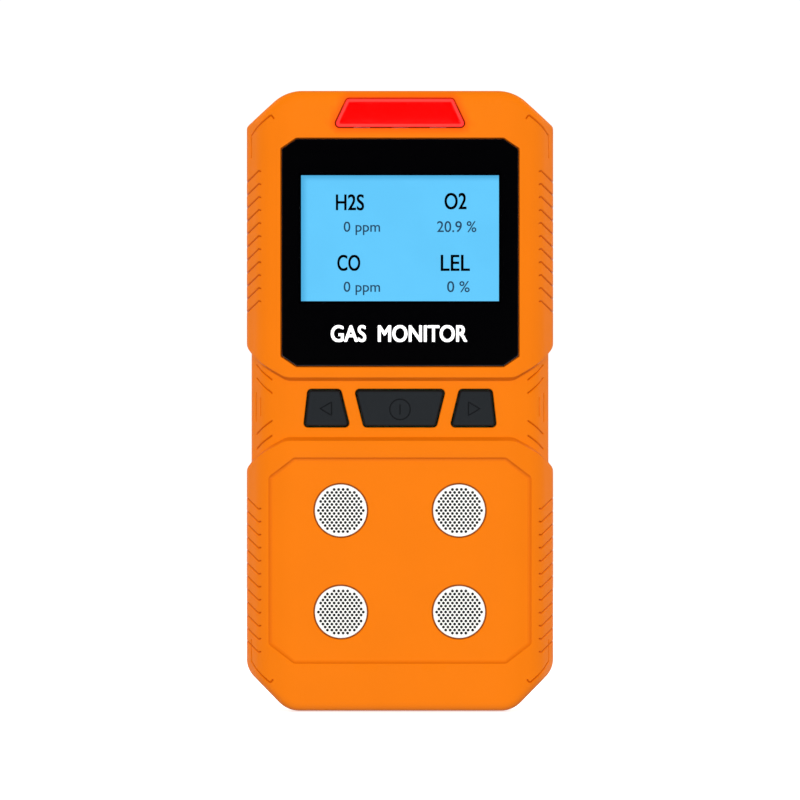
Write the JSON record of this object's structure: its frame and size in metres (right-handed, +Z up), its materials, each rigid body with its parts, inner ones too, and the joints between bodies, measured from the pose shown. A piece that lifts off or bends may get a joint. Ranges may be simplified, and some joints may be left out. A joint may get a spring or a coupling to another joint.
{
  "type": "portable gas detector",
  "caption": "Hand-held gas detector in a bumpered case with a lit display window, keys, an alarm lens, perforated sensor ports and a sprung belt clip.",
  "frame": {"origin": "centre of the flat bottom face, midway between the front and back faces of the case", "axes": "+Z up along the case towards the alarm lens, -Y out of the front face, +X to the right seen from the front"},
  "size_m": [0.0644, 0.045, 0.13],
  "materials": {
    "orange_housing": "bright orange moulded plastic with a satin, faintly grained surface",
    "orange_rubber": "orange soft moulded rubber",
    "seal_rubber": "dark grey silicone rubber",
    "lens_red": "clear red polycarbonate, polished",
    "window_clear": "clear hard-coated window",
    "mask_black": "black printed film",
    "lcd_cyan": "lit pale blue liquid crystal panel",
    "tin_frame": "tin-plated pressed steel",
    "light_guide": "white diffusing light guide",
    "key_rubber": "dark grey silicone rubber with a fine matt texture",
    "switch_black": "black nylon",
    "plunger_ivory": "ivory nylon",
    "board_green": "green solder mask on glass-epoxy laminate",
    "chip_black": "black epoxy package",
    "led_white": "white moulded lamp body",
    "buzzer_black": "black moulded case",
    "foam_grey": "grey closed-cell foam",
    "membrane_white": "white porous film",
    "motor_steel": "nickel-plated steel can",
    "tungsten": "sintered tungsten alloy",
    "boot_rubber": "black rubber",
    "lead_red": "red insulated wire",
    "cell_foil": "aluminium laminate pouch",
    "plug_ivory": "ivory nylon",
    "sensor_yellow": "yellow moulded sensor body",
    "sensor_blue": "blue moulded sensor body",
    "sensor_red": "red moulded sensor body",
    "sensor_steel": "stainless steel sensor body",
    "filter_dark": "dark grey porous filter disc",
    "socket_gold": "gold-plated pin socket",
    "grille_white": "white moulded perforated disc",
    "ribbon_grey": "grey flat cable",
    "port_steel": "nickel-plated steel shell",
    "label_silver": "satin silver label foil",
    "screw_steel": "zinc-plated steel",
    "insert_brass": "turned brass",
    "clip_steel": "bright nickel-plated sheet steel",
    "spring_steel": "drawn spring steel wire"
  },
  "bodies": {
    "case": {"front_cover": "orange_housing", "rear_cover": "orange_housing", "case_seal": "seal_rubber", "alarm_lens": "lens_red", "display_window": "window_clear", "window_mask": "mask_black", "lcd_panel": "lcd_cyan", "lcd_frame": "tin_frame", "lcd_backlight": "light_guide", "keypad_mat": "key_rubber", "key_switches": "switch_black", "display_board": "board_green", "processor_chip": "chip_black", "alarm_leds": "led_white", "buzzer": "buzzer_black", "buzzer_seal": "foam_grey", "sound_membrane": "membrane_white", "motor_can": "motor_steel", "motor_boot": "boot_rubber", "motor_leads": "lead_red", "battery_cell": "cell_foil", "battery_pads": "foam_grey", "battery_leads": "lead_red", "battery_plug": "plug_ivory", "battery_socket": "plug_ivory", "sensor_board": "board_green", "sensor_hydrogen_sulfide": "sensor_yellow", "sensor_oxygen": "sensor_blue", "sensor_carbon_monoxide": "sensor_red", "sensor_flammable": "sensor_steel", "sensor_gaskets": "seal_rubber", "sensor_filters": "filter_dark", "sensor_sockets": "socket_gold", "sensor_grilles": "grille_white", "ribbon_cable": "ribbon_grey", "ribbon_connectors": "plug_ivory", "usb_socket": "port_steel", "flap_tether": "orange_rubber", "rating_label": "label_silver", "case_screws": "screw_steel", "screw_inserts": "insert_brass", "board_screws": "screw_steel", "clip_plate": "clip_steel", "clip_pin": "clip_steel", "clip_spring": "spring_steel", "clip_screws": "screw_steel"},
    "left_button": {"left_key": "key_rubber", "left_plunger": "plunger_ivory"},
    "power_button": {"power_key": "key_rubber", "power_plunger": "plunger_ivory"},
    "right_button": {"right_key": "key_rubber", "right_plunger": "plunger_ivory"},
    "vibration_rotor": {"motor_shaft": "motor_steel", "motor_weight": "tungsten"},
    "port_cover": {"port_flap": "orange_rubber"},
    "belt_clip_lever": {"clip_lever": "clip_steel"}
  },
  "joints": [
    {"name": "left_key_press", "type": "slide", "parent": "case", "child": "left_button", "axis": [0, 1, 0], "range_m": [0, 0.0005], "stiffness_N_per_m": 2500},
    {"name": "power_key_press", "type": "slide", "parent": "case", "child": "power_button", "axis": [0, 1, 0], "range_m": [0, 0.0005], "stiffness_N_per_m": 2500},
    {"name": "right_key_press", "type": "slide", "parent": "case", "child": "right_button", "axis": [0, 1, 0], "range_m": [0, 0.0005], "stiffness_N_per_m": 2500},
    {"name": "rotor_spin", "type": "hinge", "parent": "case", "child": "vibration_rotor", "pos_m": [-0.0195, 0.0083, 0.073], "axis": [0, 0, 1], "continuous": true},
    {"name": "port_cover_hinge", "type": "hinge", "parent": "case", "child": "port_cover", "pos_m": [0.0085, 0.00637, 0.0005], "axis": [0, -1, 0], "range_deg": [0, 110], "deforming": ["flap_tether"]},
    {"name": "belt_clip_hinge", "type": "hinge", "parent": "case", "child": "belt_clip_lever", "pos_m": [0, 0.0214, 0.106], "axis": [1, 0, 0], "range_deg": [0, 20], "stiffness_Nm_per_rad": 0.3, "springref_deg": -11.46, "deforming": ["clip_spring"]}
  ]
}
